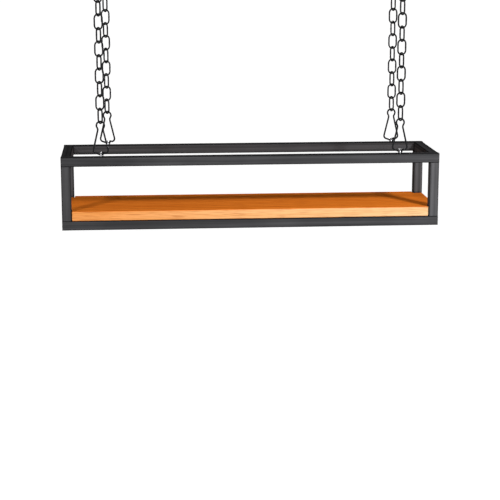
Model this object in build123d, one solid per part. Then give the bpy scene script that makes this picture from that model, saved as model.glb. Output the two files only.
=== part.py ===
from build123d import *
import math
import os

# Hanging wine rack: a welded steel tube frame with a wooden shelf board, hung by wire clips
# and four chains from four screw hooks. Millimetres, +Z up, front towards -Y.
# The origin is midway between the two front ceiling hooks, in the plane of the ceiling.

# Frame and shelf board
RACK_LENGTH = 800.0
RACK_DEPTH = 200.0
RACK_HEIGHT = 155.0
TUBE_SIDE = 20.0
TUBE_WALL = 1.5
TUBE_CORNER = 2.0
CAP_THICKNESS = 1.5
BOARD_THICKNESS = 20.0
BOARD_INSET = 1.0
BOARD_NOTCH_GAP = 1.5
BOARD_EDGE = 1.0

# Screws that hold the board from below, through the two long bottom rails
SCREW_X = (-250.0, 250.0)
SCREW_RADIUS = 2.0
SCREW_HEAD_RADIUS = 4.0
SCREW_HEAD_HEIGHT = 2.6
SCREW_BITE = 14.0
SCREW_HOLE_RADIUS = 2.3
PILOT_RADIUS = 2.05
ACCESS_RADIUS = 5.0

# Hanging points: the back pair stands a little to the right of the front pair
HOOK_SPACING = 632.0
BACK_PAIR_SHIFT = 12.0

# Chain
LINK_WIRE = 3.0
LINK_PITCH = 27.7
LINK_WIDTH = 21.0
LINKS_PER_CHAIN = 10
CHAIN_TURN = 28.0
LOOSE_FIT = 0.3

# Wire clip between chain and frame
CLIP_WIRE = 3.2
CLIP_LENGTH = 73.0
CLIP_LOOP_RADIUS = 8.0
CLIP_NECK_HALF = 5.6
CLIP_NECK_BEND = 8.0
CLIP_BASE_HALF = 15.3
CLIP_CORNER_RADIUS = 6.5
CATCH_X = 4.2
CATCH_RADIUS = 3.3
CATCH_WIRE = 2.2
BAR_SLOPE = 20.0
BAR_ABOVE_RAIL = 3.6

# Eye welded on the top rail
EYE_WIRE = 4.0
EYE_HALF_WIDTH = 6.0

# Screw hook in the ceiling, with a shoulder that seats against the ceiling
HOOK_WIRE = 5.0
BOWL_RADIUS = 9.5
BOWL_CENTRE_Z = -24.0
STUD_RADIUS = 3.0
STUD_LENGTH = 30.0
SHOULDER_RADIUS = 7.5
SHOULDER_HEIGHT = 3.0
HOOK_NECK_Z = -7.0
HOOK_NECK_SLOPE = 1.0
HOOK_LIP = 8.0

# Small round pieces are drawn with flats: wire with few, screws and their holes with more
WIRE_SIDES = 8
LINK_SIDES = 6
LINK_KINKS = 6
SCREW_SIDES = 12

# Levels and places that follow from the sizes above
link_radius = LINK_WIRE / 2
clip_radius = CLIP_WIRE / 2
hook_radius = HOOK_WIRE / 2
eye_radius = EYE_WIRE / 2
link_line_length = LINK_PITCH + LINK_WIRE + LOOSE_FIT
link_bend_radius = (LINK_WIDTH - LINK_WIRE) / 2
top_link_z = BOWL_CENTRE_Z - BOWL_RADIUS + hook_radius + link_radius + LOOSE_FIT
chain_foot_z = top_link_z - link_line_length - LINK_PITCH * (LINKS_PER_CHAIN - 1)
clip_top_z = chain_foot_z + link_radius + clip_radius + LOOSE_FIT
bar_z = clip_top_z - (CLIP_LENGTH - CLIP_WIRE)
rack_top = bar_z - BAR_ABOVE_RAIL
rack_bottom = rack_top - RACK_HEIGHT
board_bottom = rack_bottom + TUBE_SIDE
board_top = board_bottom + BOARD_THICKNESS

front_y = 0.0
back_y = RACK_DEPTH - TUBE_SIDE
middle_y = (front_y + back_y) / 2
end_x = RACK_LENGTH / 2
rail_gap = RACK_DEPTH - 2 * TUBE_SIDE
upright_length = RACK_HEIGHT - 2 * TUBE_SIDE
end_tube_x = end_x - TUBE_SIDE / 2
top_rail_z = rack_top - TUBE_SIDE / 2
bottom_rail_z = rack_bottom + TUBE_SIDE / 2

corners = {
    "front_left": (-HOOK_SPACING / 2, front_y),
    "front_right": (HOOK_SPACING / 2, front_y),
    "back_left": (-HOOK_SPACING / 2 + BACK_PAIR_SHIFT, back_y),
    "back_right": (HOOK_SPACING / 2 + BACK_PAIR_SHIFT, back_y),
}


def bend(centre, radius, start, end, kinks):
    """Corners of the straight runs that touch an arc between two angles in degrees.

    The first and the last run lie on the arc's own end tangents, so bends join smoothly.
    """
    step = (end - start) / kinks
    reach = radius / math.cos(math.radians(step / 2))
    points = []
    for i in range(kinks):
        angle = math.radians(start + step * (i + 0.5))
        points.append((
            centre[0] + reach * math.cos(angle),
            centre[1] + reach * math.sin(angle),
        ))
    return points


def bent_wire(outline, radius, closed=False, sides=WIRE_SIDES):
    """A wire bent in the XZ plane along the outline's points, with a round wire's section area."""
    points = [(x, 0, z) for x, z in outline]
    path = Polyline(*points, close=closed)
    first = Vector(*points[0])
    along = (Vector(*points[1]) - first).normalized()
    plane = Plane(origin=first, z_dir=along, x_dir=(0, 1, 0))
    swell = math.sqrt(2 * math.pi / (sides * math.sin(2 * math.pi / sides)))
    section = plane * RegularPolygon(radius * swell, sides, rotation=90 - 180 / sides)
    return sweep(section, path=path, transition=Transition.RIGHT)


def screw_bar(radius, bottom, top):
    """A many-sided upright bar, for a screw or the hole that it goes through."""
    bar = extrude(RegularPolygon(radius, SCREW_SIDES), amount=top - bottom)
    return Pos(0, 0, bottom) * bar


def hung(shape, corner, z=0.0, turn=0.0):
    """The shape turned about the plumb line of one hanging point and moved there."""
    x, y = corners[corner]
    return Pos(x, y, z) * Rot(0, 0, turn) * shape


def tube(length):
    """A square tube along X with rounded long edges."""
    outer = RectangleRounded(TUBE_SIDE, TUBE_SIDE, TUBE_CORNER)
    inner = Rectangle(TUBE_SIDE - 2 * TUBE_WALL, TUBE_SIDE - 2 * TUBE_WALL)
    profile = Plane.YZ * (outer - inner)
    return Pos(-length / 2, 0, 0) * extrude(profile, amount=length, dir=(1, 0, 0))


def long_rail(y, z):
    return Pos(0, y, z) * tube(RACK_LENGTH)


def bottom_long_rail(y):
    """A long bottom rail with the holes for the board screws in its lower and upper walls."""
    rail = long_rail(y, bottom_rail_z)
    for x in SCREW_X:
        rail -= Pos(x, y, bottom_rail_z) * screw_bar(ACCESS_RADIUS, -TUBE_SIDE, 0)
        rail -= Pos(x, y, bottom_rail_z) * screw_bar(SCREW_HOLE_RADIUS, 0, TUBE_SIDE)
    return rail


def end_rail(side, z):
    """A short rail between the two long ones at one end of the rack."""
    return Pos(side * end_tube_x, middle_y, z) * Rot(0, 0, 90) * tube(rail_gap)


def upright(side, y):
    """A corner upright between the bottom rail and the top rail."""
    centre_z = (rack_top + rack_bottom) / 2
    return Pos(side * end_tube_x, y, centre_z) * Rot(0, 90, 0) * tube(upright_length)


def end_caps(side):
    """The four plates that close the ends of the long rails at one end of the rack."""
    plate = Box(CAP_THICKNESS, TUBE_SIDE - 2 * TUBE_WALL, TUBE_SIDE - 2 * TUBE_WALL)
    plate_x = side * (end_x - CAP_THICKNESS / 2)
    plates = []
    for y in (front_y, back_y):
        for z in (bottom_rail_z, top_rail_z):
            plates.append(Pos(plate_x, y, z) * plate)
    return Compound(children=plates)


def board():
    """The shelf board, notched round the four uprights, with pilot holes for its screws."""
    length = RACK_LENGTH - 2 * BOARD_INSET
    depth = RACK_DEPTH - 2 * BOARD_INSET
    plank = Pos(0, middle_y, (board_top + board_bottom) / 2) * Box(length, depth, BOARD_THICKNESS)
    notch_side = 2 * (TUBE_SIDE + BOARD_NOTCH_GAP)
    notch = Box(notch_side, notch_side, 2 * BOARD_THICKNESS)
    front_face = front_y - TUBE_SIDE / 2
    back_face = back_y + TUBE_SIDE / 2
    for x in (-end_x, end_x):
        for y in (front_face, back_face):
            plank -= Pos(x, y, board_bottom) * notch
    long_edges = plank.edges().filter_by(Axis.X).filter_by(lambda e: e.length > RACK_LENGTH / 2)
    plank = chamfer(long_edges, BOARD_EDGE)
    pilot = screw_bar(PILOT_RADIUS, -1, SCREW_BITE + 1)
    for x in SCREW_X:
        for y in (front_y, back_y):
            plank -= Pos(x, y, board_bottom) * pilot
    return plank


def board_screw():
    """One screw, its head under the upper wall of the rail and its end in the board."""
    head_top = -TUBE_WALL
    head = screw_bar(SCREW_HEAD_RADIUS, head_top - SCREW_HEAD_HEIGHT, head_top)
    return head + screw_bar(SCREW_RADIUS, head_top, SCREW_BITE)


def board_screws():
    screw = board_screw()
    places = [(x, y) for x in SCREW_X for y in (front_y, back_y)]
    return Compound(children=[Pos(x, y, board_bottom) * screw for x, y in places])


def link():
    """One chain link, upright, its wide side in the XZ plane, centred at the origin."""
    bend_z = link_line_length / 2 - link_bend_radius
    outline = [(link_bend_radius, 0)]
    outline += bend((0, bend_z), link_bend_radius, 0, 180, LINK_KINKS)
    outline += bend((0, -bend_z), link_bend_radius, 180, 360, LINK_KINKS)
    return bent_wire(outline, link_radius, closed=True, sides=LINK_SIDES)


def link_turn(index):
    """Neighbouring links stand square to each other, and the whole chain is turned a little."""
    return CHAIN_TURN if index % 2 == 0 else CHAIN_TURN + 90


def link_centre_z(index):
    return top_link_z - link_line_length / 2 - LINK_PITCH * index


def chain_links(corner, indices):
    shape = link()
    return [hung(shape, corner, link_centre_z(i), link_turn(i)) for i in indices]


def clip():
    """The pear-shaped spring wire clip. Its bar dips to the origin, where the eye rests on it."""
    slope = math.radians(BAR_SLOPE)
    height = CLIP_LENGTH - CLIP_WIRE
    loop_z = height - CLIP_LOOP_RADIUS
    neck_x = CLIP_NECK_HALF + CLIP_NECK_BEND
    rise = math.sqrt((CLIP_LOOP_RADIUS + CLIP_NECK_BEND) ** 2 - neck_x ** 2)
    neck_z = loop_z - rise
    join = math.degrees(math.atan2(rise, neck_x))
    # The bar is tangent to the corner's arc, and so is the leg, which also touches the neck's arc
    corner_x = CLIP_BASE_HALF - CLIP_CORNER_RADIUS
    bar_run = (corner_x + CLIP_CORNER_RADIUS * math.sin(slope)) / math.cos(slope)
    corner_z = bar_run * math.sin(slope) + CLIP_CORNER_RADIUS * math.cos(slope)
    dx = neck_x - corner_x
    dz = neck_z - corner_z
    span = math.hypot(dx, dz)
    lean = math.degrees(math.asin((CLIP_CORNER_RADIUS + CLIP_NECK_BEND) / span) - math.atan2(dx, dz))
    bar_end_x = CATCH_X + CATCH_WIRE
    catch_z = CATCH_X * math.tan(slope)
    outline = [(bar_end_x, bar_end_x * math.tan(slope)), (0, 0)]
    outline += bend((-corner_x, corner_z), CLIP_CORNER_RADIUS, 270 - BAR_SLOPE, 180 - lean, 3)
    outline += bend((-neck_x, neck_z), CLIP_NECK_BEND, -lean, join, 2)
    outline += bend((0, loop_z), CLIP_LOOP_RADIUS, 180 + join, -join, 7)
    outline += bend((neck_x, neck_z), CLIP_NECK_BEND, 180 - join, 180 + lean, 2)
    outline += bend((corner_x, corner_z), CLIP_CORNER_RADIUS, lean, -75, 3)
    outline += [(CATCH_X + CATCH_WIRE / 4, catch_z + CATCH_RADIUS)]
    wire = bent_wire(outline, clip_radius)
    ring_outline = [(CATCH_RADIUS, 0)] + bend((0, 0), CATCH_RADIUS, 0, 360, 8)
    ring = bent_wire(ring_outline, CATCH_WIRE / 2, closed=True)
    return wire + Pos(CATCH_X, 0, catch_z) * Rot(0, 0, 90) * ring


def eye():
    """A wire staple across the rail, its two feet on the rail's top at the origin."""
    touching = (clip_radius + eye_radius + LOOSE_FIT) / math.cos(math.radians(BAR_SLOPE))
    crown_z = BAR_ABOVE_RAIL + touching
    bend_z = crown_z - EYE_HALF_WIDTH
    outline = [(EYE_HALF_WIDTH, 0)]
    outline += bend((0, bend_z), EYE_HALF_WIDTH, 0, 180, 4)
    outline += [(-EYE_HALF_WIDTH, 0)]
    return Rot(0, 0, 90) * bent_wire(outline, eye_radius)


def ceiling_hook():
    """A screw hook: stud above the ceiling plane, shoulder under it, open bowl below."""
    stud = Pos(0, 0, STUD_LENGTH / 2) * Cylinder(STUD_RADIUS, STUD_LENGTH)
    shoulder = Pos(0, 0, -SHOULDER_HEIGHT / 2) * Cylinder(SHOULDER_RADIUS, SHOULDER_HEIGHT)
    outline = [(0, -SHOULDER_HEIGHT / 2), (0, HOOK_NECK_Z)]
    outline += [(-BOWL_RADIUS, HOOK_NECK_Z - BOWL_RADIUS * HOOK_NECK_SLOPE)]
    outline += bend((0, BOWL_CENTRE_Z), BOWL_RADIUS, 180, 360, 6)
    outline += [(BOWL_RADIUS, BOWL_CENTRE_Z + HOOK_LIP)]
    return stud + shoulder + bent_wire(outline, hook_radius)


def ceiling_hooks():
    hook = ceiling_hook()
    return Compound(children=[hung(hook, corner, 0, CHAIN_TURN + 90) for corner in corners])


def build_parts():
    parts = {
        "top_rail_front": long_rail(front_y, top_rail_z),
        "top_rail_back": long_rail(back_y, top_rail_z),
        "bottom_rail_front": bottom_long_rail(front_y),
        "bottom_rail_back": bottom_long_rail(back_y),
        "top_end_rail_left": end_rail(-1, top_rail_z),
        "top_end_rail_right": end_rail(1, top_rail_z),
        "bottom_end_rail_left": end_rail(-1, bottom_rail_z),
        "bottom_end_rail_right": end_rail(1, bottom_rail_z),
        "upright_front_left": upright(-1, front_y),
        "upright_front_right": upright(1, front_y),
        "upright_back_left": upright(-1, back_y),
        "upright_back_right": upright(1, back_y),
        "rail_end_caps_left": end_caps(-1),
        "rail_end_caps_right": end_caps(1),
        "shelf_board": board(),
        "shelf_board_screws": board_screws(),
        "ceiling_hooks": ceiling_hooks(),
    }
    for corner in corners:
        parts["hanging_eye_" + corner] = hung(eye(), corner, rack_top)
        parts["wire_clip_" + corner] = hung(clip(), corner, bar_z)
        parts["chain_links_" + corner] = Compound(
            children=chain_links(corner, range(1, LINKS_PER_CHAIN))
        )
        parts["chain_top_link_" + corner] = chain_links(corner, [0])[0]
    return parts


os.makedirs("parts", exist_ok=True)
for name, shape in build_parts().items():
    export_step(shape, "parts/" + name + ".step")

print("rack top", rack_top, "rack bottom", rack_bottom, "board top", board_top)
print("top link", top_link_z, "chain foot", chain_foot_z, "clip bar", bar_z)
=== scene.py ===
import math

import bpy
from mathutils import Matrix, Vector


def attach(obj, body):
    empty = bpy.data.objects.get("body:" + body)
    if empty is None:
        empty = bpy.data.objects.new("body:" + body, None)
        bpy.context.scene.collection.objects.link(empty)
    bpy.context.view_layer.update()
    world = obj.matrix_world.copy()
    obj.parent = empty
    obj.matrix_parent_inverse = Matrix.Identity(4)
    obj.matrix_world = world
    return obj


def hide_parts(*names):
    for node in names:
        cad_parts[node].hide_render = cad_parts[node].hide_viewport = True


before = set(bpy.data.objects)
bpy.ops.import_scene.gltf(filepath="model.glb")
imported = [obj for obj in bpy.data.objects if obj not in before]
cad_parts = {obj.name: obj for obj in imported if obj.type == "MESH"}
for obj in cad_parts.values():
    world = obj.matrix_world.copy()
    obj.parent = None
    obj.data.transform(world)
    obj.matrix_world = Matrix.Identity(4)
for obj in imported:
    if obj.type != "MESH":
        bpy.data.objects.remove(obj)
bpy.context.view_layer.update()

# Sizes in metres. The origin is in the plane of the ceiling, midway between the two front hooks.
X_AXIS = Vector((1.0, 0.0, 0.0))
Y_AXIS = Vector((0.0, 1.0, 0.0))
Z_AXIS = Vector((0.0, 0.0, 1.0))

# Camera, fitted to the corners of the rack in the photograph
CAMERA_PLACE = Vector((-0.258, -3.1355, 0.0751))
CAMERA_YAW = -0.0811
CAMERA_PITCH = 0.2067
CAMERA_LENS = 108.3
CAMERA_SENSOR = 36.0
CAMERA_NEAR = 0.05
CAMERA_FAR = 200.0

# Studio
FLOOR_Z = -2.2
FLOOR_RADIUS = 60.0
FLOOR_SIDES = 96
FLOOR_TONE = 0.85
FLOOR_GLOW = 0.9
WORLD_LEVEL = 0.10
RACK_CENTRE = Vector((0.0, 0.09, -0.45))
LEFT_END = Vector((-0.39, 0.0, -0.49))
RIGHT_END = Vector((0.39, 0.0, -0.49))

# Lamps: azimuth and elevation in degrees, distance, size, power, and the point that each looks at
LAMPS = {
    "lamp_front": (6.0, 4.0, 2.2, 0.8, 24.0, RACK_CENTRE),
    "lamp_left": (-36.0, 34.0, 2.0, 0.18, 16.0, LEFT_END),
    "lamp_right": (29.0, 34.0, 1.6, 0.18, 26.0, RIGHT_END),
    "lamp_back": (170.0, 6.0, 2.2, 0.8, 28.0, RACK_CENTRE),
}

# Colours: the deepest and the lightest tone of each finish
WHITE = (1.0, 1.0, 1.0)
STEEL_TONES = ((0.041, 0.041, 0.043), (0.080, 0.079, 0.083))
WIRE_TONES = ((0.006, 0.006, 0.007), (0.014, 0.014, 0.015))
ZINC_TONES = ((0.20, 0.20, 0.21), (0.32, 0.32, 0.33))
FACE_TONES = ((0.80, 0.185, 0.014), (0.98, 0.290, 0.036))
# Board edges: paler than the faces partly by their own tone and partly by painted light; the next
# pair is a painted highlight that grows towards the right.
EDGE_TONES = ((0.80, 0.310, 0.075), (0.92, 0.410, 0.140))
EDGE_PAINTED_HIGHLIGHT_TONES = ((0.74, 0.440, 0.200), (0.82, 0.560, 0.310))

# Steel coat: scale of its streaks, clouds and fine grain; and the painted light on each kind of
# tube, darker on the rails and lighter on the right-hand uprights than on the left ones
STREAKS_ALONG = 1.5
STREAKS_ACROSS = 160.0
STEEL_CLOUDS = 9.0
STEEL_PEEL = 750.0
RAIL_PAINTED_LIGHT = 0.90
UPRIGHT_PAINTED_LIGHT = {"left": 0.92, "right": 1.24}

# Painted shade on the steel coat: how dark seams, inner corners, round corners and upper faces are
# painted
PAINTED_SHADE_REACH = 0.006
PAINTED_SEAM_SHADE = 0.12
PAINTED_CORNER_SHADE = 0.32
PAINTED_TOP_SHADE = 0.60

# Wood: scale of its grain, pores and slow drift of tone, and its growth rings
GRAIN_SCALE = (3.0, 140.0, 140.0)
PORE_SCALE = (22.0, 900.0, 900.0)
DRIFT_SCALE = (1.2, 7.0, 7.0)
RING_PLACE = (0.0, -1.2, 8.0)
RING_SCALE = (0.5, 16.0, 16.0)
RING_STRENGTH = 0.7

# Hanging points, as in the part: the back pair stands a little to the right
HOOK_SPACING = 0.632
BACK_PAIR_SHIFT = 0.012
FRONT_Y = 0.0
BACK_Y = 0.180
CORNERS = {
    "front_left": (-HOOK_SPACING / 2, FRONT_Y),
    "front_right": (HOOK_SPACING / 2, FRONT_Y),
    "back_left": (-HOOK_SPACING / 2 + BACK_PAIR_SHIFT, BACK_Y),
    "back_right": (HOOK_SPACING / 2 + BACK_PAIR_SHIFT, BACK_Y),
}

# Chain
LINK_WIRE = 0.003
LINK_PITCH = 0.0277
LINK_WIDTH = 0.021
LINKS_PER_CHAIN = 10
LOOSE_FIT = 0.0003
CHAIN_TURN_LEFT = 28.0
CHAIN_TURN_RIGHT = 17.0
TOP_LINK_Z = -0.0292
LINK_LEG_STEPS = 6
LINK_BEND_STEPS = 14
LINK_WELD_SWELL = 0.12
LINK_WELD_LENGTH = 0.0016
LINK_LINE_LENGTH = LINK_PITCH + LINK_WIRE + LOOSE_FIT
LINK_BEND_RADIUS = (LINK_WIDTH - LINK_WIRE) / 2

# Coat on the wire of chains and clips
COAT = 0.00025

# Wire clip
CLIP_WIRE = 0.0032
CLIP_HEIGHT = 0.073
CLIP_LOOP_RADIUS = 0.008
CLIP_NECK_HALF = 0.0056
CLIP_NECK_BEND = 0.008
CLIP_BASE_HALF = 0.0153
CLIP_CORNER_RADIUS = 0.0065
CLIP_END_ANGLE = -82
BAR_SLOPE = 20.0
BAR_DIP_RADIUS = 0.004
BAR_Z = -0.3759

# Turn of the clip's thin end round its bar
CATCH_X = 0.0042
CATCH_RADIUS = 0.0033
CATCH_WIRE = 0.0022
CATCH_START = 100
CATCH_END = -215

# Tube frame
RACK_LENGTH = 0.8
RACK_HEIGHT = 0.155
RACK_TOP = -0.3795
TUBE_SIDE = 0.020

# Eye on the rail
EYE_WIRE = 0.004
EYE_HALF_WIDTH = 0.006
EYE_CROWN = 0.00775

# Ceiling hook
HOOK_WIRE = 0.005
BOWL_RADIUS = 0.0095
BOWL_CENTRE_Z = -0.024
HOOK_NECK_Z = -0.007
HOOK_LIP = 0.008
SHOULDER_RADIUS = 0.0075
SHOULDER_HEIGHT = 0.003
SHOULDER_RIM = 0.0002

# Ends of the hook's two small bends, measured from the corner that each rounds off
NECK_BEND = ((0.0, 0.0015), (-0.0009, -0.0008))
BOWL_BEND = ((0.0012, 0.0010), (0.0001, -0.0020))

# Stud of the hook: its thread starts above the shoulder and stops below the tip
STUD_RADIUS = 0.003
STUD_LENGTH = 0.030
STUD_TIP = 0.002
THREAD_ROOT_SHARE = 0.82
THREAD_PITCH = 0.0018
THREAD_START = 0.002
THREAD_STOP = 0.003

# Weld beads: size, length of one ripple, rings of points per ripple, and how the ends taper
WELD_BEAD = 0.0013
WELD_RIPPLE = 0.0016
WELD_RIPPLE_SWELL = 0.13
WELD_RINGS = 5
WELD_TAPER = 6
WELD_END = 0.35
WELD_INSET = 0.0025


# Small helpers for node trees

def new_material(name):
    material = bpy.data.materials.new(name)
    material.use_nodes = True
    nodes = material.node_tree.nodes
    nodes.clear()
    output = nodes.new("ShaderNodeOutputMaterial")
    shader = nodes.new("ShaderNodeBsdfPrincipled")
    material.node_tree.links.new(shader.outputs["BSDF"], output.inputs["Surface"])
    return material, nodes, material.node_tree.links, shader


def grey(level):
    return (level, level, level)


def object_coordinates(nodes, links, scale=(1.0, 1.0, 1.0), place=(0.0, 0.0, 0.0)):
    """Coordinates in the part's frame, stretched by one factor per axis and then moved."""
    coordinates = nodes.new("ShaderNodeTexCoord")
    mapping = nodes.new("ShaderNodeMapping")
    mapping.inputs["Scale"].default_value = scale
    mapping.inputs["Location"].default_value = place
    links.new(coordinates.outputs["Object"], mapping.inputs["Vector"])
    return mapping.outputs["Vector"]


def noise(nodes, links, vector, scale=1.0, detail=2.0, roughness=0.5):
    texture = nodes.new("ShaderNodeTexNoise")
    texture.inputs["Scale"].default_value = scale
    texture.inputs["Detail"].default_value = detail
    texture.inputs["Roughness"].default_value = roughness
    links.new(vector, texture.inputs["Vector"])
    return texture.outputs["Fac"]


def ramp(nodes, links, factor, start, first, end, last):
    """A colour ramp from the first colour at start to the last one at end."""
    node = nodes.new("ShaderNodeValToRGB")
    stops = ((start, first), (end, last))
    for element, (place, colour) in zip(node.color_ramp.elements, stops):
        element.position = place
        element.color = (*colour, 1.0)
    links.new(factor, node.inputs["Fac"])
    return node.outputs["Color"]


def remap(nodes, links, value, low, high, start=0.0, end=1.0):
    """A value that runs from low to high while the given one runs from start to end."""
    node = nodes.new("ShaderNodeMapRange")
    node.inputs["From Min"].default_value = start
    node.inputs["From Max"].default_value = end
    node.inputs["To Min"].default_value = low
    node.inputs["To Max"].default_value = high
    links.new(value, node.inputs["Value"])
    return node.outputs["Result"]


def combine(nodes, links, operation, *values):
    """One math node on one or two values."""
    node = nodes.new("ShaderNodeMath")
    node.operation = operation
    for socket, value in zip(node.inputs, values):
        links.new(value, socket)
    return node.outputs["Value"]


def split(nodes, links, vector):
    """The X, Y and Z parts of a vector."""
    node = nodes.new("ShaderNodeSeparateXYZ")
    links.new(vector, node.inputs["Vector"])
    return node.outputs


def surface_normal(nodes, links):
    """The X, Y and Z parts of the direction that the surface faces."""
    geometry = nodes.new("ShaderNodeNewGeometry")
    return split(nodes, links, geometry.outputs["Normal"])


def mix_colours(nodes, links, factor, first, second, blend="MIX"):
    """Two linked colours mixed by a plain or a linked factor."""
    node = nodes.new("ShaderNodeMix")
    node.data_type = "RGBA"
    node.blend_type = blend
    factor_socket, first_socket, second_socket = (node.inputs[i] for i in (0, 6, 7))
    if isinstance(factor, float):
        factor_socket.default_value = factor
    else:
        links.new(factor, factor_socket)
    links.new(first, first_socket)
    links.new(second, second_socket)
    return node.outputs[2]


def shaded(nodes, links, tone, *shades):
    """The tone multiplied by each shade in turn."""
    for shade in shades:
        tone = mix_colours(nodes, links, 1.0, tone, shade, "MULTIPLY")
    return tone


def bump(nodes, links, heights):
    """Bump from (height, distance in metres) pairs, one on the other."""
    normal = None
    for height, distance in heights:
        node = nodes.new("ShaderNodeBump")
        node.inputs["Distance"].default_value = distance
        links.new(height, node.inputs["Height"])
        if normal is not None:
            links.new(normal, node.inputs["Normal"])
        normal = node.outputs["Normal"]
    return normal


def painted_crevice_shade(nodes, links):
    """Painted shade: a grey that darkens seams and inner corners, where shade falls."""
    node = nodes.new("ShaderNodeAmbientOcclusion")
    node.samples = 8
    node.inputs["Distance"].default_value = PAINTED_SHADE_REACH
    return ramp(nodes, links, node.outputs["AO"], 0.35, grey(PAINTED_SEAM_SHADE), 0.9, WHITE)


def painted_direction_shade(nodes, links):
    """Painted shade: a grey that darkens round corners and faces that look up, where less light
    falls.
    """
    normal = surface_normal(nodes, links)
    top_painted_shade = ramp(nodes, links, normal["Z"], 0.6, WHITE, 0.95, grey(PAINTED_TOP_SHADE))
    sizes = [combine(nodes, links, "ABSOLUTE", normal[axis]) for axis in ("X", "Y", "Z")]
    level = combine(nodes, links, "MAXIMUM", sizes[0], sizes[1])
    largest = combine(nodes, links, "MAXIMUM", level, sizes[2])
    corner_painted_shade = ramp(nodes, links, largest, 0.97, grey(PAINTED_CORNER_SHADE), 0.9995, WHITE)
    return shaded(nodes, links, top_painted_shade, corner_painted_shade)


# Materials

def painted_steel(name, streak_scale, level):
    """Charcoal matt coat on rolled tube, with faint streaks along the tube's length."""
    material, nodes, links, shader = new_material(name)
    streaks = noise(nodes, links, object_coordinates(nodes, links, streak_scale), 1.0, 3.0, 0.6)
    plain = object_coordinates(nodes, links)
    clouds = noise(nodes, links, plain, STEEL_CLOUDS, 3.0)
    peel = noise(nodes, links, plain, STEEL_PEEL)
    # The level is painted light: rails darker, and the right-hand uprights lighter than the left
    # ones, as the lamps fall on them.
    deep, light = (tuple(level * v for v in tone) for tone in STEEL_TONES)
    tone = ramp(nodes, links, streaks, 0.36, deep, 0.64, light)
    cloud_shade = ramp(nodes, links, clouds, 0.30, grey(0.76), 0.70, WHITE)
    # Painted shade: seams and inner corners are darkened in the colour where shade falls.
    painted_seam_shade = painted_crevice_shade(nodes, links)
    # The clouds are the coat's own tone; the last two shades are painted shade on seams, corners
    # and upper faces.
    tone = shaded(nodes, links, tone, cloud_shade, painted_seam_shade, painted_direction_shade(nodes, links))
    links.new(tone, shader.inputs["Base Color"])
    links.new(remap(nodes, links, clouds, 0.58, 0.70), shader.inputs["Roughness"])
    links.new(bump(nodes, links, [(peel, 0.00006), (streaks, 0.00005)]), shader.inputs["Normal"])
    shader.inputs["Specular IOR Level"].default_value = 0.0
    return material


def black_wire():
    """Black coated steel wire of the chains, clips and hooks."""
    material, nodes, links, shader = new_material("black_wire")
    plain = object_coordinates(nodes, links)
    patches = noise(nodes, links, plain, 120.0, 3.0)
    fine = noise(nodes, links, plain, 1400.0)
    deep, light = WIRE_TONES
    links.new(ramp(nodes, links, patches, 0.3, deep, 0.7, light), shader.inputs["Base Color"])
    links.new(remap(nodes, links, patches, 0.32, 0.48), shader.inputs["Roughness"])
    links.new(bump(nodes, links, [(fine, 0.00003)]), shader.inputs["Normal"])
    shader.inputs["Specular IOR Level"].default_value = 0.04
    return material


def bright_zinc():
    """Bright zinc of the eyes and screws."""
    material, nodes, links, shader = new_material("bright_zinc")
    plain = object_coordinates(nodes, links)
    patches = noise(nodes, links, plain, 300.0, 3.0)
    fine = noise(nodes, links, plain, 2500.0)
    deep, light = ZINC_TONES
    links.new(ramp(nodes, links, patches, 0.3, deep, 0.7, light), shader.inputs["Base Color"])
    shader.inputs["Metallic"].default_value = 1.0
    links.new(remap(nodes, links, patches, 0.18, 0.34), shader.inputs["Roughness"])
    links.new(bump(nodes, links, [(fine, 0.00002)]), shader.inputs["Normal"])
    return material


def growth_rings(nodes, links):
    """Long bows of growth rings round an axis that lies far outside the board."""
    rings = nodes.new("ShaderNodeTexWave")
    rings.wave_type = "RINGS"
    rings.rings_direction = "X"
    rings.inputs["Scale"].default_value = 1.0
    rings.inputs["Distortion"].default_value = 5.0
    rings.inputs["Detail"].default_value = 2.0
    rings.inputs["Detail Scale"].default_value = 0.6
    place = object_coordinates(nodes, links, RING_SCALE, RING_PLACE)
    links.new(place, rings.inputs["Vector"])
    return rings.outputs["Fac"]


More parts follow.
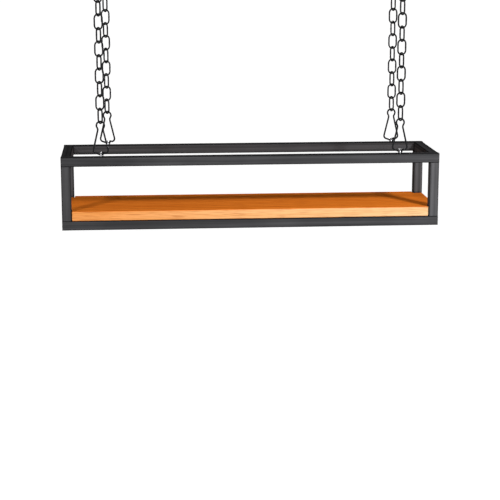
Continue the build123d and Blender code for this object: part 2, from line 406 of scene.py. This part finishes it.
def shelf_wood():
    """Warm oiled board, deep amber on its wide faces and paler on its edges, partly by its own tone
    and partly by painted light, with a painted highlight on the edges that grows to the right.
    """
    material, nodes, links, shader = new_material("shelf_wood")
    grain = noise(nodes, links, object_coordinates(nodes, links, GRAIN_SCALE), 1.0, 4.0, 0.65)
    pores = noise(nodes, links, object_coordinates(nodes, links, PORE_SCALE))
    drift = noise(nodes, links, object_coordinates(nodes, links, DRIFT_SCALE), 1.0, 3.0)
    face, edge, edge_painted_highlight = (
        ramp(nodes, links, grain, 0.25, deep, 0.75, light)
        for deep, light in (FACE_TONES, EDGE_TONES, EDGE_PAINTED_HIGHLIGHT_TONES)
    )
    along = split(nodes, links, object_coordinates(nodes, links))["X"]
    # Painted highlight: the edges turn paler towards the right, where the lamps light them more.
    highlight_to_right = remap(nodes, links, along, 0.0, 1.0, -RACK_LENGTH * 0.4, RACK_LENGTH * 0.45)
    edge = mix_colours(nodes, links, highlight_to_right, edge, edge_painted_highlight)
    # Edges against faces: partly the wood's own tone, partly painted light from the front.
    flat = combine(nodes, links, "ABSOLUTE", surface_normal(nodes, links)["Z"])
    tone = mix_colours(nodes, links, flat, edge, face)
    rings = growth_rings(nodes, links)
    ring_shade = ramp(nodes, links, rings, 0.1, (0.80, 0.74, 0.70), 0.8, WHITE)
    tone = mix_colours(nodes, links, RING_STRENGTH, tone, ring_shade, "MULTIPLY")
    drift_shade = ramp(nodes, links, drift, 0.25, (0.88, 0.84, 0.80), 0.75, WHITE)
    pore_shade = ramp(nodes, links, pores, 0.36, (0.72, 0.62, 0.56), 0.50, WHITE)
    tone = shaded(nodes, links, tone, drift_shade, pore_shade)
    links.new(tone, shader.inputs["Base Color"])
    links.new(remap(nodes, links, grain, 0.66, 0.52), shader.inputs["Roughness"])
    links.new(bump(nodes, links, [(grain, 0.00012), (pores, 0.00008)]), shader.inputs["Normal"])
    shader.inputs["Specular IOR Level"].default_value = 0.0
    return material


# Mesh helpers

def new_object(name, vertices, faces, material, smooth=True):
    mesh = bpy.data.meshes.new(name)
    mesh.from_pydata([tuple(v) for v in vertices], [], faces)
    mesh.materials.append(material)
    for polygon in mesh.polygons:
        polygon.use_smooth = smooth
    mesh.validate()
    mesh.update()
    obj = bpy.data.objects.new(name, mesh)
    bpy.context.scene.collection.objects.link(obj)
    return obj


def arc(centre, radius, start, end, steps):
    """Points of an arc in a plane, from one angle in degrees to another."""
    points = []
    for i in range(steps + 1):
        angle = math.radians(start + (end - start) * i / steps)
        points.append((centre[0] + radius * math.cos(angle), centre[1] + radius * math.sin(angle)))
    return points


def circle(radius, z, sides):
    """Points of a level circle round the Z axis."""
    points = []
    for k in range(sides):
        angle = 2 * math.pi * k / sides
        points.append(Vector((radius * math.cos(angle), radius * math.sin(angle), z)))
    return points


def skin(rings, closed=False):
    """Vertices and faces over a row of rings, with flat ends where the row is open."""
    count = len(rings)
    sides = len(rings[0])
    vertices = [v for ring in rings for v in ring]
    faces = []
    for i in range(count if closed else count - 1):
        j = (i + 1) % count
        for k in range(sides):
            n = (k + 1) % sides
            faces.append((i * sides + k, i * sides + n, j * sides + n, j * sides + k))
    if not closed:
        last = (count - 1) * sides
        faces.append(tuple(range(sides - 1, -1, -1)))
        faces.append(tuple(last + k for k in range(sides)))
    return vertices, faces


def wire_mesh(outline, radii, closed=False, sides=14, side_axis=Y_AXIS):
    """A round wire along a plane path. side_axis is the plane's own normal."""
    count = len(outline)
    if isinstance(radii, float):
        radii = [radii] * count
    rings = []
    for i, point in enumerate(outline):
        before = outline[i - 1] if closed or i > 0 else point
        after = outline[(i + 1) % count] if closed or i < count - 1 else point
        along = (after - before).normalized()
        across = along.cross(side_axis).normalized()
        ring = []
        for k in range(sides):
            angle = 2 * math.pi * k / sides
            ring.append(point + radii[i] * (math.cos(angle) * across + math.sin(angle) * side_axis))
        rings.append(ring)
    return skin(rings, closed)


def lathe(profile, sides=32):
    """A round solid about the Z axis from the radii and heights of its outline."""
    return skin([circle(radius, z, sides) for radius, z in profile])


def in_xz(outline):
    return [Vector((x, 0.0, z)) for x, z in outline]


def placed(vertices, corner, z=0.0, turn=0.0):
    """Vertices turned about the plumb line of one hanging point and moved there."""
    x, y = CORNERS[corner]
    cosine = math.cos(math.radians(turn))
    sine = math.sin(math.radians(turn))
    moved = []
    for v in vertices:
        moved_x = x + v.x * cosine - v.y * sine
        moved_y = y + v.x * sine + v.y * cosine
        moved.append(Vector((moved_x, moved_y, z + v.z)))
    return moved


def chain_turn(corner):
    """All four chains show the camera the same side of their links, so the right ones turn less."""
    return CHAIN_TURN_RIGHT if corner.endswith("right") else CHAIN_TURN_LEFT


def joined(parts):
    """Several (vertices, faces) pairs as one."""
    vertices = []
    faces = []
    for part_vertices, part_faces in parts:
        start = len(vertices)
        vertices += part_vertices
        faces += [tuple(start + i for i in face) for face in part_faces]
    return vertices, faces


# Chains

def link_mesh():
    """One link with the slight swelling of its weld in the middle of one leg."""
    bend_z = LINK_LINE_LENGTH / 2 - LINK_BEND_RADIUS + COAT
    leg_places = [2 * i / LINK_LEG_STEPS - 1 for i in range(1, LINK_LEG_STEPS)]
    right_leg = [(LINK_BEND_RADIUS, bend_z * place) for place in leg_places]
    left_leg = [(-x, -z) for x, z in right_leg]
    top_bend = arc((0, bend_z), LINK_BEND_RADIUS, 0, 180, LINK_BEND_STEPS)
    bottom_bend = arc((0, -bend_z), LINK_BEND_RADIUS, 180, 360, LINK_BEND_STEPS)
    outline = right_leg + top_bend + left_leg + bottom_bend
    radii = []
    for x, z in outline:
        near_weld = math.exp(-((z / LINK_WELD_LENGTH) ** 2)) if x > 0 else 0.0
        radii.append(COAT + LINK_WIRE / 2 * (1 + LINK_WELD_SWELL * near_weld))
    return wire_mesh(in_xz(outline), radii, closed=True)


def link_at(shape, corner, index):
    """One link of a chain, counted from the top. Neighbours stand square to each other."""
    turn = chain_turn(corner) + (0 if index % 2 == 0 else 90)
    centre_z = TOP_LINK_Z - LINK_LINE_LENGTH / 2 - LINK_PITCH * index
    return placed(shape[0], corner, centre_z, turn), shape[1]


def make_chain(corner, material):
    shape = link_mesh()
    top = new_object("top_link_round_" + corner, *link_at(shape, corner, 0), material)
    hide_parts("chain_top_link_" + corner)
    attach(top, "top_link_" + corner)
    links = joined([link_at(shape, corner, i) for i in range(1, LINKS_PER_CHAIN)])
    rest = new_object("chain_round_" + corner, *links, material)
    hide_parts("chain_links_" + corner)
    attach(rest, "chain_" + corner)


# Clips

def clip_mesh():
    """The bent spring wire. Its bar dips to the origin, and its end is hooked round the bar."""
    slope = math.radians(BAR_SLOPE)
    loop_z = CLIP_HEIGHT - CLIP_WIRE - CLIP_LOOP_RADIUS
    loop_radius = CLIP_LOOP_RADIUS + COAT
    neck_x = CLIP_NECK_HALF + CLIP_NECK_BEND
    rise = math.sqrt((loop_radius + CLIP_NECK_BEND) ** 2 - neck_x ** 2)
    neck_z = loop_z - rise
    join = math.degrees(math.atan2(rise, neck_x))
    corner_x = CLIP_BASE_HALF - CLIP_CORNER_RADIUS
    bar_run = (corner_x + CLIP_CORNER_RADIUS * math.sin(slope)) / math.cos(slope)
    corner_z = bar_run * math.sin(slope) + CLIP_CORNER_RADIUS * math.cos(slope)
    span = math.hypot(neck_x - corner_x, neck_z - corner_z)
    tilt = math.atan2(neck_x - corner_x, neck_z - corner_z)
    lean = math.degrees(math.asin((CLIP_CORNER_RADIUS + CLIP_NECK_BEND) / span) - tilt)
    dip = (0, BAR_DIP_RADIUS / math.cos(slope))
    bar_end_x = CATCH_X + CATCH_WIRE
    catch_z = CATCH_X * math.tan(slope)
    outline = [(bar_end_x, bar_end_x * math.tan(slope))]
    outline += arc(dip, BAR_DIP_RADIUS, 270 + BAR_SLOPE, 270 - BAR_SLOPE, 4)
    outline += arc((-corner_x, corner_z), CLIP_CORNER_RADIUS, 270 - BAR_SLOPE, 180 - lean, 10)
    outline += arc((-neck_x, neck_z), CLIP_NECK_BEND, -lean, join, 6)
    outline += arc((0, loop_z), loop_radius, 180 + join, -join, 22)[1:]
    outline += arc((neck_x, neck_z), CLIP_NECK_BEND, 180 - join, 180 + lean, 6)[1:]
    outline += arc((corner_x, corner_z), CLIP_CORNER_RADIUS, lean, CLIP_END_ANGLE, 10)
    outline += [(CATCH_X + CATCH_WIRE / 4, catch_z + CATCH_RADIUS)]
    wire = wire_mesh(in_xz(outline), CLIP_WIRE / 2 + COAT)
    catch_arc = arc((0, catch_z), CATCH_RADIUS, CATCH_START, CATCH_END, 22)
    turn = [Vector((CATCH_X, y, z)) for y, z in catch_arc]
    return joined([wire, wire_mesh(turn, CATCH_WIRE / 2, side_axis=X_AXIS)])


def make_clip(corner, material):
    shape = clip_mesh()
    clip = new_object("clip_round_" + corner, placed(shape[0], corner, BAR_Z), shape[1], material)
    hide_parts("wire_clip_" + corner)
    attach(clip, "clip_" + corner)


# Eyes

def make_eye(corner, material):
    bend_z = EYE_CROWN - EYE_HALF_WIDTH
    outline = [(EYE_HALF_WIDTH, 0.0)]
    outline += arc((0, bend_z), EYE_HALF_WIDTH, 0, 180, 20)
    outline += [(-EYE_HALF_WIDTH, 0.0)]
    vertices, faces = wire_mesh(in_xz(outline), EYE_WIRE / 2)
    vertices = placed(vertices, corner, RACK_TOP, 90)
    eye = new_object("eye_round_" + corner, vertices, faces, material)
    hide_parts("hanging_eye_" + corner)
    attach(eye, "rack")


# Ceiling hooks

def stud_profile():
    """Outline of the shoulder and the threaded stud above it."""
    root = STUD_RADIUS * THREAD_ROOT_SHARE
    profile = [
        (SHOULDER_RADIUS * 0.7, -SHOULDER_HEIGHT),
        (SHOULDER_RADIUS * 0.92, -SHOULDER_HEIGHT * 0.85),
        (SHOULDER_RADIUS, -SHOULDER_HEIGHT * 0.5),
        (SHOULDER_RADIUS, -SHOULDER_RIM),
        (SHOULDER_RADIUS * 0.97, 0.0),
        (root, 0.0),
    ]
    z = THREAD_START
    while z < STUD_LENGTH - THREAD_STOP:
        crest = (STUD_RADIUS, z + THREAD_PITCH * 0.4)
        profile += [(root, z), crest, (root, z + THREAD_PITCH * 0.8)]
        z += THREAD_PITCH
    profile += [(root, STUD_LENGTH - STUD_TIP), (root * 0.2, STUD_LENGTH)]
    return profile


def hook_mesh():
    """A screw hook with its bowl under the origin and its stud above."""
    outline = [(0.0, -SHOULDER_HEIGHT * 0.6)]
    outline += [(x, HOOK_NECK_Z + z) for x, z in NECK_BEND]
    outline += [(-BOWL_RADIUS + x, HOOK_NECK_Z - BOWL_RADIUS + z) for x, z in BOWL_BEND]
    outline += arc((0, BOWL_CENTRE_Z), BOWL_RADIUS, 180, 360, 20)
    outline += [(BOWL_RADIUS, BOWL_CENTRE_Z + HOOK_LIP * share) for share in (0.6, 1.0)]
    return joined([lathe(stud_profile()), wire_mesh(in_xz(outline), HOOK_WIRE / 2, sides=16)])


def make_hooks(material):
    vertices, faces = hook_mesh()
    parts = []
    for corner in CORNERS:
        parts.append((placed(vertices, corner, 0.0, chain_turn(corner) + 90), faces))
    hooks = new_object("ceiling_hooks_round", *joined(parts), material)
    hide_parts("ceiling_hooks")
    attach(hooks, "ceiling")


# Welds

def bead_mesh(start, end, side_axis):
    """A short weld bead with the ripples of its runs, from one point to another."""
    length = (end - start).length
    steps = int(length / WELD_RIPPLE * WELD_RINGS)
    outline = []
    radii = []
    for i in range(steps + 1):
        share = i / steps
        taper = min(1.0, WELD_TAPER * share + WELD_END, WELD_TAPER * (1 - share) + WELD_END)
        wave = math.sin(2 * math.pi * share * length / WELD_RIPPLE)
        outline.append(start.lerp(end, share))
        radii.append(WELD_BEAD * taper * (1 + WELD_RIPPLE_SWELL * wave))
    return wire_mesh(outline, radii, sides=8, side_axis=side_axis)


def weld_lines(end, y, inward):
    """Ends and side axis of the beads at one corner: two under the top rail, two on end rails."""
    x = end * (RACK_LENGTH / 2 - TUBE_SIDE)
    centre_x = end * (RACK_LENGTH / 2 - TUBE_SIDE + TUBE_SIDE / 2)
    inner_y = y + inward * TUBE_SIDE / 2
    half = TUBE_SIDE / 2 - WELD_INSET
    under_top = RACK_TOP - TUBE_SIDE
    lines = [
        ((x, y - half, under_top), (x, y + half, under_top), Z_AXIS),
        ((centre_x - half, inner_y, under_top), (centre_x + half, inner_y, under_top), Z_AXIS),
    ]
    for top in (RACK_TOP, RACK_TOP - RACK_HEIGHT + TUBE_SIDE):
        low = (x, inner_y, top - TUBE_SIDE + WELD_INSET)
        lines.append((low, (x, inner_y, top - WELD_INSET), Y_AXIS))
    return lines


def make_welds(material):
    """Beads in the inner corners of the frame."""
    parts = []
    for end in (-1, 1):
        for y, inward in ((FRONT_Y, 1), (BACK_Y, -1)):
            for start, stop, side_axis in weld_lines(end, y, inward):
                parts.append(bead_mesh(Vector(start), Vector(stop), side_axis))
    welds = new_object("weld_beads", *joined(parts), material)
    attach(welds, "rack")


# Finish of the part's own pieces

def set_material(node, material):
    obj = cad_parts[node]
    obj.data.materials.clear()
    obj.data.materials.append(material)


def dress_frame():
    """Coat on every tube, with streaks along its own length, and the wood of the board."""
    along = STREAKS_ALONG
    across = STREAKS_ACROSS
    along_x = painted_steel("painted_steel_x", (along, across, across), RAIL_PAINTED_LIGHT)
    along_y = painted_steel("painted_steel_y", (across, along, across), RAIL_PAINTED_LIGHT)
    for side in ("front", "back"):
        set_material("top_rail_" + side, along_x)
        set_material("bottom_rail_" + side, along_x)
    # Lit and shaded copies of one coat: the uprights at the right are painted lighter than those at
    # the left.
    for end, level in UPRIGHT_PAINTED_LIGHT.items():
        set_material("top_end_rail_" + end, along_y)
        set_material("bottom_end_rail_" + end, along_y)
        set_material("rail_end_caps_" + end, along_y)
        along_z = painted_steel("steel_upright_painted_light_" + end, (across, across, along), level)
        set_material("upright_front_" + end, along_z)
        set_material("upright_back_" + end, along_z)
    set_material("shelf_board", shelf_wood())
    make_welds(along_x)


# Studio

def add_lamp(name, azimuth, elevation, distance, size, power, target):
    """A square soft lamp that looks at the target. Azimuth 0 is in front, positive to the right."""
    data = bpy.data.lights.new(name, "AREA")
    data.shape = "SQUARE"
    data.size = size
    data.energy = power
    lamp = bpy.data.objects.new(name, data)
    bpy.context.scene.collection.objects.link(lamp)
    a = math.radians(azimuth)
    e = math.radians(elevation)
    away = Vector((math.sin(a) * math.cos(e), -math.cos(a) * math.cos(e), math.sin(e)))
    lamp.location = target + away * distance
    lamp.rotation_mode = "QUATERNION"
    lamp.rotation_quaternion = away.to_track_quat("Z", "Y")


def background_rays(nodes, links):
    """One for the rays that show the background: those of the camera, reflections and glass."""
    rays = nodes.new("ShaderNodeLightPath")
    total = rays.outputs["Is Camera Ray"]
    for kind in ("Is Glossy Ray", "Is Transmission Ray"):
        total = combine(nodes, links, "MAXIMUM", total, rays.outputs[kind])
    return total


def make_world():
    """A dim plain world that shows white behind the object."""
    world = bpy.data.worlds.new("studio")
    bpy.context.scene.world = world
    world.use_nodes = True
    nodes = world.node_tree.nodes
    links = world.node_tree.links
    nodes.clear()
    output = nodes.new("ShaderNodeOutputWorld")
    background = nodes.new("ShaderNodeBackground")
    background.inputs["Color"].default_value = (1.0, 1.0, 1.0, 1.0)
    strength = remap(nodes, links, background_rays(nodes, links), WORLD_LEVEL, 1.0)
    links.new(strength, background.inputs["Strength"])
    links.new(background.outputs["Background"], output.inputs["Surface"])


def make_floor():
    """A pale floor far below. Part of its white is its own, so that a shadow on it still shows."""
    vertices = [Vector((0.0, 0.0, FLOOR_Z))] + circle(FLOOR_RADIUS, FLOOR_Z, FLOOR_SIDES)
    faces = [(0, k + 1, (k + 1) % FLOOR_SIDES + 1) for k in range(FLOOR_SIDES)]
    material, nodes, links, shader = new_material("pale_floor")
    shader.inputs["Base Color"].default_value = (*grey(FLOOR_TONE), 1.0)
    shader.inputs["Roughness"].default_value = 0.9
    shader.inputs["Emission Color"].default_value = (1.0, 1.0, 1.0, 1.0)
    glow = remap(nodes, links, background_rays(nodes, links), 0.0, FLOOR_GLOW)
    links.new(glow, shader.inputs["Emission Strength"])
    floor = new_object("floor", vertices, faces, material, smooth=False)


def make_camera():
    data = bpy.data.cameras.new("camera")
    data.lens = CAMERA_LENS
    data.sensor_width = CAMERA_SENSOR
    data.clip_start = CAMERA_NEAR
    data.clip_end = CAMERA_FAR
    camera = bpy.data.objects.new("camera", data)
    bpy.context.scene.collection.objects.link(camera)
    camera.location = CAMERA_PLACE
    camera.rotation_euler = (math.pi / 2 - CAMERA_PITCH, 0.0, CAMERA_YAW)
    bpy.context.scene.camera = camera


wire_material = black_wire()
zinc_material = bright_zinc()
dress_frame()
set_material("shelf_board_screws", zinc_material)
for corner_name in CORNERS:
    make_chain(corner_name, wire_material)
    make_clip(corner_name, wire_material)
    make_eye(corner_name, zinc_material)
make_hooks(wire_material)

make_camera()
make_world()
make_floor()
for lamp_name, lamp_settings in LAMPS.items():
    add_lamp(lamp_name, *lamp_settings)

bpy.context.scene.view_settings.view_transform = "Standard"
